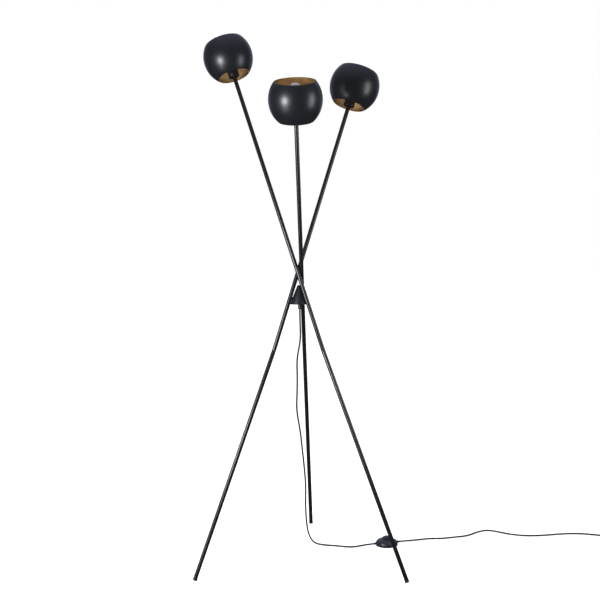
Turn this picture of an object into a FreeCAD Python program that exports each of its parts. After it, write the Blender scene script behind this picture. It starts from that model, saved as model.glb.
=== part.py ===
import FreeCAD, Part
import math
import os

# Tripod floor lamp, in millimetres. Three poles lean past each other and cross at a waist.
# Each carries a round shade, open at both ends, and stands on the floor with its other end.
# While it is built, the lamp's axis is the Z axis and the floor is Z = 0. At the end the
# whole model is moved so that its origin is the bottom centre of the lamp without its lead.

V = FreeCAD.Vector
UP = V(0, 0, 1)

# Poles
POLE_D = 12.0
POLE_WALL = 1.0
POLE_GAP = 0.3  # between neighbouring poles where they cross
WAIST_Z = 853.5  # height where the poles cross
JOINT_DROP = 224.1  # from the waist down to the joint of the two sections
LEAN_UPPER = 20.165  # degrees from upright
LEAN_LOWER = 22.46
SHADE_AT = {"front": 737.3, "right": 814.4, "left": 915.5}  # joint to shade centre
AZIMUTH = {"front": -90.0, "right": 30.0, "left": 150.0}  # the way each head leans

# Joint of the sections
JOINT_PLAY = 0.1  # least gap between the tube ends
STUD_D = 7.0
STUD_LENGTH = 18.0
PLUG_LENGTH = 22.0
INSERT_LENGTH = 26.0

# Feet
CAP_WALL = 0.3  # how far the cap stands out over the tube
CAP_LENGTH = 7.0
CAP_STEM = 12.0
FACET_DEPTH = 0.8  # how much of the cap's edge is cut level for the floor

# Hub cone between the poles, under the waist
CONE_DROP = 92.8  # from the waist down to the cone's base
CONE_HEIGHT = 54.8
CONE_TOP_R = 5.8
CONE_POLE_GAP = 0.6
CONE_WALL = 1.5
PLATE_T = 2.0
BOSS_R = 3.0
BOSS_HEIGHT = 8.0
BOSS_INSET = 7.0  # from the cone's inner wall to a boss's axis

# Nipples
NIPPLE_ABOVE_BASE = 18.8  # height of the nipple on the pole's axis over the cone's base
NIPPLE_D = 7.0
NIPPLE_BORE = 4.4
COLLAR_R = 4.6
NUT_FLATS = 9.0
NUT_T = 3.0

# Wiring
FLEX_D = 3.6
FLEX_BEND = 4.4
BLOCK_R = 7.0
BLOCK_HEIGHT = 12.0
BLOCK_SCREW_R = 1.4

# Gland
CORD_D = 5.0
GLAND_R = 5.4
GLAND_WAIST_R = 4.9
GLAND_LENGTH = 14.9
GLAND_COLLAR = 4.2
GLAND_STEM_R = 4.5
GLAND_NUT_T = 4.0
GLAND_NUT_FLATS = 12.0
GLAND_RUN = 54.0  # the lead hangs straight this far from the terminal block

# Shade, measured from its centre along the pole
SHADE_R = 73.3
SHADE_HALF = 77.5  # half height of the full ellipsoid
SHADE_TOP = 48.8
SHADE_BOTTOM = 59.0
SHADE_WALL = 1.2

# Lampholder, measured from the shade's centre along the pole
CUP_BOTTOM = -62.0
CUP_TOP = -32.0
CUP_R = 16.25
CUP_WALL = 1.0
CUP_FLOOR = 1.5
POLE_INTO_CUP = 4.0
HOLDER_R = 13.5
HOLDER_TOP = -26.0
HOLDER_FLOOR = 3.5
HOLDER_STEM = 8.0
SOCKET_R = 7.4
SPIDER_T = 1.2
SPIDER_RING_R = 18.5
ARM_WIDTH = 8.0
RING_R = 17.0
RING_T = 3.5

# Bulb
BULB_R = 17.7
BULB_TIP = 45.0
BULB_WALL = 0.8
BULB_NECK_R = 8.0
SCREW_R = 7.0
SCREW_LENGTH = 25.0
TIP_R = 2.5
TIP_HEIGHT = 1.8
FLANGE_R = 8.3
FLANGE_T = 1.5

# Foot switch, its cords in line at SWITCH_TURN degrees to the X axis
SWITCH_AT = V(249.5, 132.0, 0)
SWITCH_TURN = 14.5
SWITCH_R = 33.5
SWITCH_HEIGHT = 20.0
SWITCH_EDGE = 6.0  # height of the upright part of the cover's side
SWITCH_WALL = 2.2
SOLE_T = 1.5
BASE_T = 2.0
BUTTON_R = 12.4
BUTTON_TOP = 28.5
BUTTON_DOME = 4.5
BUTTON_FLANGE = 1.8
BUTTON_LIP = 1.6
TRAVEL = 3.0
CORD_HEIGHT = 6.5
SWITCH_CORNER = 60.0  # where the cords first turn, from the switch's middle
SLEEVE_R = 4.2
SLEEVE_OUT = 6.0
CONTACT_LENGTH = 36.0
CONTACT_WIDTH = 18.0
CONTACT_TOP = 9.0
SPRING_R = 6.0
SPRING_WIRE = 0.9
SPRING_TURNS = 4
SWITCH_BOSS_R = 3.6
SWITCH_BOSS_AT = 22.0

# Screws
SCREW_SHAFT_R = 1.45
SCREW_HEAD_R = 2.8
SCREW_HEAD_T = 1.5

# Coil and plug
COIL_AT = V(985.0, 232.0, 0)
COIL_TURN_R = 27.5  # mean radius of the turns
COIL_RUN = 48.0  # the lead's last stretch before the coil
PLUG_LENGTH_X = 34.0
PLUG_WIDTH = 35.3
PLUG_T = 13.7
PLUG_EDGE = 2.0
PLUG_REAR = 14.0
PLUG_FRONT = 26.0
PLUG_SLEEVE = 24.0
PLUG_SLEEVE_R = 4.6
PLUG_SLEEVE_TIP_R = 3.6
PIN_D = 4.0
PIN_LENGTH = 19.0
PIN_SPACING = 18.6
PIN_SEAT = 8.0  # the pin's thinner root in the plug's body
PIN_SEAT_D = 3.0

# Clearances
FIT = 0.05  # pieces pressed or screwed together, on the radius
LOOSE = 0.1  # a piece that passes through a hole, on the radius
CORD_PLAY = 0.2
PLATE_PLAY = 0.25
SLIDE = 0.4  # the button in its cover
TOUCH = 0.3  # between an end and the curved face that it meets

# The lead lies in free curves: points of its route, from piece to piece
LEAD_ROUTE = [
    (0.8, 8, 655),
    (-12.6, 19, 598),
    (-12.2, 29, 543),
    (-14.5, 39, 490),
    (-17.8, 49, 438),
    (-8.5, 60, 378),
    (-3.6, 69, 318),
    (1.0, 80, 258),
    (4.2, 90, 200),
    (1.8, 99, 144),
    (2.4, 107, 92),
    (7.0, 113, 44),
    (23.0, 118, 10),
    (55.0, 121, 2.7),
    (91.0, 115.5, 2.7),
    (123.0, 104.5, 2.7),
    (152.0, 104.0, 2.8),
]
MAINS_ROUTE = [
    (348, 168, 2.8),
    (386, 181, 2.7),
    (424, 180, 2.7),
    (467, 194, 2.7),
    (508, 206, 2.7),
    (541, 242, 2.7),
    (576, 262, 2.7),
    (608, 245, 2.7),
    (642, 219, 2.7),
    (690, 205, 2.7),
    (744, 209, 2.7),
    (800, 223, 2.7),
    (856, 228, 2.7),
    (908, 214, 2.7),
]

POLE_R = POLE_D / 2
BORE_R = POLE_R - POLE_WALL
CORD_R = CORD_D / 2
BASE_Z = WAIST_Z - CONE_DROP
JOINT_Z = WAIST_Z - JOINT_DROP
SLOPE_UPPER = math.tan(math.radians(LEAN_UPPER))


# ---- shapes ---------------------------------------------------------------------------

def cylinder(radius, low, high):
    return Part.makeCylinder(radius, high - low, V(0, 0, low))


def ring(outer, inner, low, high):
    return cylinder(outer, low, high).cut(cylinder(inner, low - 1, high + 1))


def revolved(edges):
    face = Part.Face(Part.Wire(Part.__sortEdges__(edges)))
    return face.revolve(V(0, 0, 0), UP, 360)


def line(a, b):
    """An edge between two (radius, height) points of a turned profile."""
    return Part.LineSegment(V(a[0], 0, a[1]), V(b[0], 0, b[1])).toShape()


def lathe(points):
    closed = points + points[:1]
    return revolved([line(a, b) for a, b in zip(closed, closed[1:])])


def hexagon(flats, low, high):
    corner = flats / math.sqrt(3)
    wire = Part.makePolygon([
        V(corner * math.cos(math.radians(60 * i)), corner * math.sin(math.radians(60 * i)), low)
        for i in range(7)
    ])
    return Part.Face(wire).extrude(V(0, 0, high - low))


def moved(shape, placement):
    copy = shape.copy()
    copy.Placement = placement.multiply(copy.Placement)
    return copy


def joined(shapes):
    solid = shapes[0].fuse(shapes[1:]).removeSplitter()
    return solid.Solids[0] if len(solid.Solids) == 1 else solid


def screw(length):
    """A countersunk screw with its head's face at 0, pointing up."""
    return lathe([
        (0, 0), (SCREW_HEAD_R, 0), (SCREW_SHAFT_R, SCREW_HEAD_T),
        (SCREW_SHAFT_R, length), (0, length),
    ])


def screw_hole(length):
    return lathe([
        (0, 0), (SCREW_HEAD_R + FIT, 0), (SCREW_SHAFT_R + FIT, SCREW_HEAD_T),
        (SCREW_SHAFT_R + FIT, length), (0, length),
    ])


def pipe(path, radius):
    """A round bar along a wire of edges that run on from each other."""
    first = path[0]
    start = first.valueAt(first.FirstParameter)
    along = first.tangentAt(first.FirstParameter)
    section = Part.Wire([Part.Circle(start, along, radius).toShape()])
    return Part.Wire(path).makePipeShell([section], True, False)


def cord(name, points, radius):
    """A tube along straight runs joined by tangent arcs, as large as the runs allow."""
    path, radii, at = [], [], points[0]
    for before, corner, after in zip(points, points[1:], points[2:]):
        back, on = before - corner, after - corner
        reach = 0.45 * min(back.Length, on.Length)
        back.normalize()
        on.normalize()
        half_turn = (math.pi - back.getAngle(on)) / 2
        arc_radius = reach / math.tan(half_turn)
        middle = (back + on).normalize()
        centre = corner + middle * (arc_radius / math.cos(half_turn))
        start, end = corner + back * reach, corner + on * reach
        path.append(Part.LineSegment(at, start).toShape())
        path.append(Part.Arc(start, centre - middle * arc_radius, end).toShape())
        radii.append(arc_radius)
        at = end
    path.append(Part.LineSegment(at, points[-1]).toShape())
    tube = pipe(path, radius)
    length = sum(edge.Length for edge in path)
    print(name, "length", round(length, 1), "least radius", round(min(radii), 1),
          "volume ratio", round(tube.Volume / (length * math.pi * radius ** 2), 4))
    print("  radii", [round(r) for r in radii])
    return tube


# ---- poles ----------------------------------------------------------------------------

def waist_offset():
    """How far each pole's axis passes from the lamp's axis, so that neighbours just clear."""
    sine, cosine = math.sin(math.radians(LEAN_UPPER)), math.cos(math.radians(LEAN_UPPER))
    return (POLE_D + POLE_GAP) * math.hypot(cosine, sine / 2) / (math.sqrt(3) * cosine)


def axis_point(side, height):
    """The point of a pole's axis at a height over the joint."""
    turn = math.radians(AZIMUTH[side])
    ahead = V(math.cos(turn), math.sin(turn), 0)
    aside = V(-math.sin(turn), math.cos(turn), 0)
    return aside * waist_offset() + ahead * ((height - WAIST_Z) * SLOPE_UPPER) + UP * height


def section_frame(side, lean):
    """The frame of a pole section: its origin is the joint and +Z points up the tube."""
    turn = FreeCAD.Rotation(UP, AZIMUTH[side]) * FreeCAD.Rotation(V(0, 1, 0), lean)
    return FreeCAD.Placement(axis_point(side, JOINT_Z), turn)


def head_frame(side):
    """The frame of a shade: its origin is the shade's centre and +Z points up the pole."""
    return section_frame(side, LEAN_UPPER) * FreeCAD.Placement(
        V(0, 0, SHADE_AT[side]), FreeCAD.Rotation()
    )


def nipple_frame(side):
    """The frame of a nipple: from the pole's axis, at right angles to it, to the lamp's axis."""
    start = axis_point(side, BASE_Z + NIPPLE_ABOVE_BASE)
    reach = (start.z - WAIST_Z) * SLOPE_UPPER
    target = V(0, 0, start.z + reach * SLOPE_UPPER)
    return FreeCAD.Placement(start, FreeCAD.Rotation(UP, target - start)), (target - start)


def tube_end_gap():
    kink = math.radians(LEAN_LOWER - LEAN_UPPER)
    return JOINT_PLAY / 2 + POLE_R * math.tan(abs(kink) / 2)


def pole_upper(side):
    top = SHADE_AT[side] + CUP_BOTTOM + CUP_FLOOR + POLE_INTO_CUP
    tube = moved(ring(POLE_R, BORE_R, tube_end_gap(), top), section_frame(side, LEAN_UPPER))
    frame, _ = nipple_frame(side)
    return tube.cut(moved(cylinder(NIPPLE_D / 2 + FIT, 0, POLE_D), frame))


def foot_reach():
    """From the joint to the flat end of the foot cap, along the lower section."""
    lean = math.radians(LEAN_LOWER)
    cap_r = POLE_R + CAP_WALL
    return (JOINT_Z + FACET_DEPTH - cap_r * math.sin(lean)) / math.cos(lean)


def pole_lower(side):
    low = CAP_LENGTH - foot_reach()
    return moved(ring(POLE_R, BORE_R, low, -tube_end_gap()), section_frame(side, LEAN_LOWER))


def foot_cap(side):
    end = -foot_reach()
    body = cylinder(POLE_R + CAP_WALL, end, end + CAP_LENGTH)
    stem = cylinder(BORE_R - FIT, end + CAP_LENGTH / 2, end + CAP_LENGTH + CAP_STEM)
    cap = moved(joined([body, stem]), section_frame(side, LEAN_LOWER))
    box = cap.BoundBox
    floor = Part.makeBox(box.XLength + 2, box.YLength + 2, 1 - box.ZMin,
                         V(box.XMin - 1, box.YMin - 1, box.ZMin - 1))
    return cap.cut(floor)


def joint_insert(side):
    low = tube_end_gap() + FIT
    return moved(ring(BORE_R - FIT, STUD_D / 2 + LOOSE, low, INSERT_LENGTH),
                 section_frame(side, LEAN_UPPER))


def joint_stud(side):
    plug = moved(cylinder(BORE_R - FIT, -PLUG_LENGTH, -tube_end_gap()),
                 section_frame(side, LEAN_LOWER))
    stud = moved(cylinder(STUD_D / 2, -STUD_D, STUD_LENGTH), section_frame(side, LEAN_UPPER))
    return joined([plug, stud])


# ---- hub ------------------------------------------------------------------------------

def cone_base_r():
    """The cone's base just clears the poles beside it."""
    drop = CONE_DROP * SLOPE_UPPER
    near = POLE_R / math.cos(math.radians(LEAN_UPPER))
    return math.hypot(waist_offset(), drop) - near - CONE_POLE_GAP


def cone_r(height):
    """The cone's outer radius at a height over its base."""
    return cone_base_r() + (CONE_TOP_R - cone_base_r()) * height / CONE_HEIGHT


def nipple_reach(side):
    """How far along a nipple, from the pole's axis, the cone's outer face lies."""
    frame, way = nipple_frame(side)
    start = frame.Base
    radius = math.hypot(start.x, start.y)
    per_mm = (CONE_TOP_R - cone_base_r()) / CONE_HEIGHT
    at_start = cone_r(start.z - BASE_Z)
    return (radius - at_start) / (radius / way.Length + per_mm * way.z / way.Length)


def nut_start(side):
    """The nut's corners meet the hollow wall of the cone, so its face stands a little off."""
    corner = NUT_FLATS / math.sqrt(3)
    hollow = cone_r(NIPPLE_ABOVE_BASE) - CONE_WALL
    sag = hollow - math.sqrt(hollow ** 2 - corner ** 2)
    return nipple_reach(side) + CONE_WALL + sag + TOUCH


def nipple_end(side):
    return nut_start(side) + NUT_T + 1


def cone_room():
    """The cone, solid and a little larger, which the nipples' collars stay clear of."""
    grown = Part.makeCone(cone_base_r() + TOUCH, CONE_TOP_R + TOUCH, CONE_HEIGHT)
    return moved(grown, FreeCAD.Placement(V(0, 0, BASE_Z), FreeCAD.Rotation()))


def hub_cone():
    cone = Part.makeCone(cone_base_r(), CONE_TOP_R, CONE_HEIGHT)
    inner_height = CONE_HEIGHT - PLATE_T
    hollow = Part.makeCone(cone_base_r() - CONE_WALL, cone_r(inner_height) - CONE_WALL, inner_height)
    shell = cone.cut(hollow)
    for spot in boss_spots():
        boss = moved(cylinder(BOSS_R, PLATE_T, PLATE_T + BOSS_HEIGHT), spot)
        web = Part.makeBox(BOSS_INSET, BOSS_R, BOSS_HEIGHT, V(0, -BOSS_R / 2, PLATE_T))
        shell = shell.fuse(joined([boss, moved(web, spot)]).common(cone))
    for spot in boss_spots():
        shell = shell.cut(moved(cylinder(SCREW_SHAFT_R + FIT, 0, PLATE_T + BOSS_HEIGHT - 1), spot))
    shell = moved(shell.removeSplitter(), FreeCAD.Placement(V(0, 0, BASE_Z), FreeCAD.Rotation()))
    for side in AZIMUTH:
        frame, _ = nipple_frame(side)
        shell = shell.cut(moved(cylinder(NIPPLE_D / 2 + FIT, POLE_R, nipple_end(side)), frame))
    return shell.Solids[0]


def boss_spots():
    """The screws sit between the nipples. Each frame has +X outwards."""
    radius = cone_base_r() - CONE_WALL - BOSS_INSET
    spots = []
    for azimuth in AZIMUTH.values():
        turn = FreeCAD.Rotation(UP, azimuth + 225)
        spots.append(FreeCAD.Placement(turn.multVec(V(radius, 0, 0)), turn))
    return spots


def hub_plate():
    rim = cone_base_r() - CONE_WALL - PLATE_PLAY
    rim_top = cone_r(PLATE_T) - CONE_WALL - PLATE_PLAY
    plate = lathe([
        (GLAND_STEM_R + FIT, 0), (rim, 0), (rim_top, PLATE_T), (GLAND_STEM_R + FIT, PLATE_T),
    ])
    for spot in boss_spots():
        plate = plate.cut(moved(screw_hole(PLATE_T + 1), spot))
    return raised(plate)


def raised(shape):
    """Moves a piece that was made over the cone's base up to it."""
    return moved(shape, FreeCAD.Placement(V(0, 0, BASE_Z), FreeCAD.Rotation()))


def hub_screws():
    return Part.makeCompound([
        raised(moved(screw(PLATE_T + BOSS_HEIGHT - 2), spot)) for spot in boss_spots()
    ])


def gland():
    bore = CORD_R + CORD_PLAY
    top = PLATE_T + GLAND_NUT_T
    return raised(lathe([
        (bore, -GLAND_LENGTH), (GLAND_R - 0.8, -GLAND_LENGTH), (GLAND_R, 1 - GLAND_LENGTH),
        (GLAND_R, GLAND_COLLAR - GLAND_LENGTH), (GLAND_WAIST_R, GLAND_COLLAR + 0.5 - GLAND_LENGTH),
        (GLAND_R, 0), (GLAND_STEM_R, 0), (GLAND_STEM_R, top), (bore, top),
    ]))


def gland_nut():
    nut = hexagon(GLAND_NUT_FLATS, PLATE_T, PLATE_T + GLAND_NUT_T)
    return raised(nut.cut(cylinder(GLAND_STEM_R + FIT, 0, PLATE_T + GLAND_NUT_T + 1)))


def terminal_block():
    low = PLATE_T + GLAND_NUT_T
    block = cylinder(BLOCK_R, low, low + BLOCK_HEIGHT)
    for i in range(3):
        turn = FreeCAD.Rotation(UP, 120 * i + 45)
        hole = cylinder(BLOCK_SCREW_R, low + BLOCK_HEIGHT * 0.6, low + BLOCK_HEIGHT + 1)
        block = block.cut(moved(hole, FreeCAD.Placement(turn.multVec(V(BLOCK_R * 0.6, 0, 0)), turn)))
    return raised(block)


def nipple(side):
    frame, _ = nipple_frame(side)
    stem = ring(NIPPLE_D / 2, NIPPLE_BORE / 2, BORE_R + FIT, nipple_end(side))
    collar = ring(COLLAR_R, NIPPLE_BORE / 2, POLE_R * 0.6, nipple_reach(side) + COLLAR_R)
    pole = Part.makeCylinder(POLE_R + FIT, 4 * POLE_D, V(0, 0, -2 * POLE_D))
    across = FreeCAD.Placement(frame.Base, section_frame(side, LEAN_UPPER).Rotation)
    collar = moved(collar, frame).cut(moved(pole, across)).cut(cone_room())
    return joined([moved(stem, frame), collar])


def nipple_nuts():
    nuts = []
    for side in AZIMUTH:
        frame, _ = nipple_frame(side)
        low = nut_start(side)
        nut = hexagon(NUT_FLATS, low, low + NUT_T)
        nuts.append(moved(nut.cut(cylinder(NIPPLE_D / 2 + FIT, 0, low + NUT_T + 1)), frame))
    return Part.makeCompound(nuts)


def pole_flex(side):
    """The flex runs down the pole, bends into the nipple and ends at the terminal block."""
    frame, way = nipple_frame(side)
    corner = frame.Base
    up = section_frame(side, LEAN_UPPER).Rotation.multVec(UP)
    inward = V(way).normalize()
    top = head_frame(side).multVec(V(0, 0, holder_bottom() + HOLDER_FLOOR - TOUCH))
    bend_start, bend_end = corner + up * FLEX_BEND, corner + inward * FLEX_BEND
    middle = corner + (up + inward) * (FLEX_BEND * (1 - math.sqrt(0.5)))
    level = math.hypot(inward.x, inward.y)
    end = corner + inward * (way.Length - (BLOCK_R + TOUCH + FLEX_D / 4) / level)
    return pipe([
        Part.LineSegment(top, bend_start).toShape(),
        Part.Arc(bend_start, middle, bend_end).toShape(),
        Part.LineSegment(bend_end, end).toShape(),
    ], FLEX_D / 2)


# ---- heads ----------------------------------------------------------------------------

def holder_bottom():
    return CUP_BOTTOM + CUP_FLOOR + POLE_INTO_CUP


def ellipse_arc(radius, half, low, high):
    """The right-hand part of an upright ellipse, between two heights."""
    ellipse = Part.Ellipse(V(0, 0, half), V(radius, 0, 0), V(0, 0, 0))
    turns = [math.acos(high / half), math.acos(low / half)]
    arc = Part.ArcOfEllipse(ellipse, turns[0], turns[1]).toShape()
    if arc.BoundBox.XMax < radius / 2:
        arc = Part.ArcOfEllipse(ellipse, -turns[1], -turns[0]).toShape()
    return arc


def ellipse_r(radius, half, height):
    return radius * math.sqrt(1 - (height / half) ** 2)


def shade(side):
    low, high = -SHADE_BOTTOM, SHADE_TOP
    inner_r, inner_half = SHADE_R - SHADE_WALL, SHADE_HALF - SHADE_WALL
    edges = [
        ellipse_arc(SHADE_R, SHADE_HALF, low, high),
        ellipse_arc(inner_r, inner_half, low, high),
        line((ellipse_r(SHADE_R, SHADE_HALF, high), high), (ellipse_r(inner_r, inner_half, high), high)),
        line((ellipse_r(SHADE_R, SHADE_HALF, low), low), (ellipse_r(inner_r, inner_half, low), low)),
    ]
    return moved(revolved(edges), head_frame(side))


def shade_spider(side):
    """A flat ring on the cup with three arms that reach the shade's inner face."""
    low, high = CUP_TOP, CUP_TOP + SPIDER_T
    parts = [cylinder(SPIDER_RING_R, low, high)]
    reach = ellipse_r(SHADE_R - SHADE_WALL, SHADE_HALF - SHADE_WALL, low) - FIT
    for i in range(3):
        arm = Part.makeBox(reach + 5, ARM_WIDTH, SPIDER_T, V(0, -ARM_WIDTH / 2, low))
        parts.append(moved(arm, FreeCAD.Placement(V(0, 0, 0), FreeCAD.Rotation(UP, 120 * i + 60))))
    spider = joined(parts).common(cylinder(reach, low - 1, high + 1))
    return moved(spider.cut(cylinder(HOLDER_R + LOOSE, low - 1, high + 1)), head_frame(side))


def holder_cup(side):
    hole = POLE_R + LOOSE
    cup = lathe([
        (hole, CUP_BOTTOM), (CUP_R - 1, CUP_BOTTOM), (CUP_R, CUP_BOTTOM + 1), (CUP_R, CUP_TOP),
        (CUP_R - CUP_WALL, CUP_TOP), (CUP_R - CUP_WALL, CUP_BOTTOM + CUP_FLOOR),
        (hole, CUP_BOTTOM + CUP_FLOOR),
    ])
    return moved(cup, head_frame(side))


def lampholder(side):
    bottom = holder_bottom()
    wire = FLEX_D / 2 + LOOSE
    body = lathe([
        (wire, bottom - HOLDER_STEM), (BORE_R - FIT, bottom - HOLDER_STEM), (BORE_R - FIT, bottom),
        (HOLDER_R, bottom), (HOLDER_R, HOLDER_TOP), (SOCKET_R, HOLDER_TOP),
        (SOCKET_R, bottom + HOLDER_FLOOR), (wire, bottom + HOLDER_FLOOR),
    ])
    return moved(body, head_frame(side))


def shade_ring(side):
    low = CUP_TOP + SPIDER_T
    return moved(ring(RING_R, HOLDER_R + FIT, low, low + RING_T), head_frame(side))


def bulb_cap(side):
    top = HOLDER_TOP + TOUCH
    low = top - SCREW_LENGTH
    cap = lathe([
        (0, low - TIP_HEIGHT), (TIP_R, low - TIP_HEIGHT), (TIP_R, low), (SCREW_R, low + 1.5),
        (SCREW_R, top), (FLANGE_R, top), (FLANGE_R, top + FLANGE_T), (0, top + FLANGE_T),
    ])
    return moved(cap, head_frame(side))


def bulb_side(radius):
    """A turned profile from the neck up a straight side and round the top, radius as given."""
    neck_r = BULB_NECK_R - (BULB_R - radius)
    neck_z = HOLDER_TOP + TOUCH + FLANGE_T
    centre_z = BULB_TIP - BULB_R
    gap_r, gap_z = neck_r, centre_z - neck_z
    far = math.hypot(gap_r, gap_z)
    angle = math.atan2(gap_z, gap_r) - math.acos(radius / far)
    touch = (radius * math.cos(angle), centre_z - radius * math.sin(angle))
    bow = (math.pi / 2 - angle) / 2
    middle = V(radius * math.cos(bow), 0, centre_z + radius * math.sin(bow))
    top = (0, centre_z + radius)
    arc = Part.Arc(V(touch[0], 0, touch[1]), middle, V(0, 0, top[1])).toShape()
    return (neck_r, neck_z), top, [line((neck_r, neck_z), touch), arc]


def bulb_glass(side):
    outer_neck, outer_top, outer = bulb_side(BULB_R)
    inner_neck, inner_top, inner = bulb_side(BULB_R - BULB_WALL)
    edges = outer + inner + [line(outer_neck, inner_neck), line(outer_top, inner_top)]
    return moved(revolved(edges), head_frame(side))


# ---- foot switch ----------------------------------------------------------------------

def switch_frame():
    return FreeCAD.Placement(SWITCH_AT, FreeCAD.Rotation(UP, SWITCH_TURN))


def switch_point(along, height):
    """A point on the line of the switch's cords."""
    return switch_frame().multVec(V(along, 0, height))


def dome(inset):
    """The solid under the cover's skin, or under its inner face when inset by the wall."""
    radius, top = SWITCH_R - inset, SWITCH_HEIGHT - inset
    side = SWITCH_EDGE
    flat = BUTTON_R + SLIDE + 1.5
    middle = V(flat + (radius - flat) * 0.72, 0, side + (top - side) * 0.74)
    arc = Part.Arc(V(radius, 0, side), middle, V(flat, 0, top)).toShape()
    return revolved([
        line((0, SOLE_T), (radius, SOLE_T)), line((radius, SOLE_T), (radius, side)), arc,
        line((flat, top), (0, top)), line((0, top), (0, SOLE_T)),
    ])


def sleeve(turn, radius, start, end):
    way = FreeCAD.Rotation(UP, turn).multVec(V(1, 0, 0))
    return Part.makeCylinder(radius, end - start, way * start + UP * CORD_HEIGHT, way)


def switch_bosses():
    return [FreeCAD.Placement(V(0, y, 0), FreeCAD.Rotation()) for y in (-SWITCH_BOSS_AT, SWITCH_BOSS_AT)]


def switch_cover():
    outer = dome(0)
    cover = outer.cut(dome(SWITCH_WALL))
    low = SOLE_T + BASE_T
    for spot in switch_bosses():
        boss = moved(cylinder(SWITCH_BOSS_R, low, SWITCH_HEIGHT), spot).common(outer)
        cover = cover.fuse(boss)
    for turn in (0, 180):
        cover = cover.fuse(sleeve(turn, SLEEVE_R, SWITCH_R - SWITCH_WALL - 3, SWITCH_R + SLEEVE_OUT))
    for turn in (0, 180):
        cover = cover.cut(sleeve(turn, CORD_R + CORD_PLAY, 0, SWITCH_R + SLEEVE_OUT + 1))
    for spot in switch_bosses():
        cover = cover.cut(moved(cylinder(SCREW_SHAFT_R + FIT, 0, low + 5), spot))
    cover = cover.cut(cylinder(BUTTON_R + SLIDE, SOLE_T, SWITCH_HEIGHT + 1))
    return moved(cover.removeSplitter().Solids[0], switch_frame())


def switch_base():
    inner = SWITCH_R - SWITCH_WALL - LOOSE
    base = lathe([
        (0, 0), (SWITCH_R - 0.5, 0), (SWITCH_R, 0.5), (SWITCH_R, SOLE_T),
        (inner, SOLE_T), (inner, SOLE_T + BASE_T), (0, SOLE_T + BASE_T),
    ])
    for spot in switch_bosses():
        base = base.cut(moved(screw_hole(SOLE_T + BASE_T + 1), spot))
    for turn in (0, 180):
        base = base.cut(sleeve(turn, SLEEVE_R + LOOSE, CONTACT_LENGTH / 2, SWITCH_R - SWITCH_WALL))
    return moved(base, switch_frame())


def switch_screws():
    return Part.makeCompound([
        moved(moved(screw(SOLE_T + BASE_T + 4), spot), switch_frame()) for spot in switch_bosses()
    ])


def switch_button():
    """A domed push button with a flange that the cover holds down over the spring."""
    lip_r = BUTTON_R + BUTTON_LIP
    lip_top = SWITCH_HEIGHT - SWITCH_WALL - SLIDE
    lip_low = lip_top - BUTTON_FLANGE
    side = BUTTON_TOP - BUTTON_DOME
    ball_r = (BUTTON_R ** 2 + BUTTON_DOME ** 2) / (2 * BUTTON_DOME)
    half = math.asin(BUTTON_R / ball_r) / 2
    bow = V(ball_r * math.sin(half), 0, BUTTON_TOP - ball_r * (1 - math.cos(half)))
    dome_arc = Part.Arc(V(BUTTON_R, 0, side), bow, V(0, 0, BUTTON_TOP)).toShape()
    return moved(revolved([
        line((0, lip_low), (lip_r, lip_low)), line((lip_r, lip_low), (lip_r, lip_top)),
        line((lip_r, lip_top), (BUTTON_R, lip_top)), line((BUTTON_R, lip_top), (BUTTON_R, side)),
        dome_arc, line((0, BUTTON_TOP), (0, lip_low)),
    ]), switch_frame())


def spring_span():
    button_low = SWITCH_HEIGHT - SWITCH_WALL - SLIDE - BUTTON_FLANGE
    return CONTACT_TOP + SPRING_WIRE / 2 + LOOSE, button_low - SPRING_WIRE / 2 - LOOSE


def switch_spring():
    """Half turns lie in planes that tilt to and fro, so each starts the way the last one ends."""
    low, high = spring_span()
    rise = (high - low) / (2 * SPRING_TURNS)
    half_turns = []
    for i in range(2 * SPRING_TURNS):
        way = 1 if i % 2 == 0 else -1
        start = V(way * SPRING_R, 0, low + i * rise)
        wire_end = Part.Face(Part.Wire(Part.Circle(start, V(0, 1, 0), SPRING_WIRE / 2).toShape()))
        centre = V(0, 0, start.z + rise / 2)
        half_turns.append(wire_end.revolve(centre, V(way * rise / 2, 0, SPRING_R), 180))
    return moved(joined(half_turns), switch_frame())


def switch_contacts():
    low = SOLE_T + BASE_T
    block = Part.makeBox(CONTACT_LENGTH, CONTACT_WIDTH, CONTACT_TOP - low,
                         V(-CONTACT_LENGTH / 2, -CONTACT_WIDTH / 2, low))
    return moved(block, switch_frame())


# ---- lead -----------------------------------------------------------------------------

def lead():
    """From the terminal block down through the gland, to the floor and into the switch."""
    top = BASE_Z + PLATE_T + GLAND_NUT_T
    start = [V(0, 0, top), V(0, 0, top - GLAND_RUN)]
    end = [switch_point(-SWITCH_CORNER, CORD_HEIGHT), switch_point(-CONTACT_LENGTH / 2 - TOUCH, CORD_HEIGHT)]
    return cord("lead", start + [V(*p) for p in LEAD_ROUTE] + end, CORD_R)


def coil_entry():
    """The lead reaches the coil along the line that its outer turns touch."""
    turn_r = COIL_TURN_R + CORD_R
    return COIL_AT + V(0, -turn_r, CORD_R + LOOSE)


def mains_lead():
    start = [switch_point(CONTACT_LENGTH / 2 + TOUCH, CORD_HEIGHT),
             switch_point(SWITCH_CORNER, CORD_HEIGHT)]
    entry = coil_entry()
    end = [entry - V(COIL_RUN, 0, 0), entry - V(COIL_TURN_R / 2, 0, 0)]
    return cord("mains lead", start + [V(*p) for p in MAINS_ROUTE] + end, CORD_R)


def cord_coil():
    """Two layers of two turns."""
    inner, outer = COIL_TURN_R - CORD_D, COIL_TURN_R + CORD_D
    return moved(ring(outer, inner, LOOSE, LOOSE + 2 * CORD_D),
                 FreeCAD.Placement(COIL_AT, FreeCAD.Rotation()))


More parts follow.
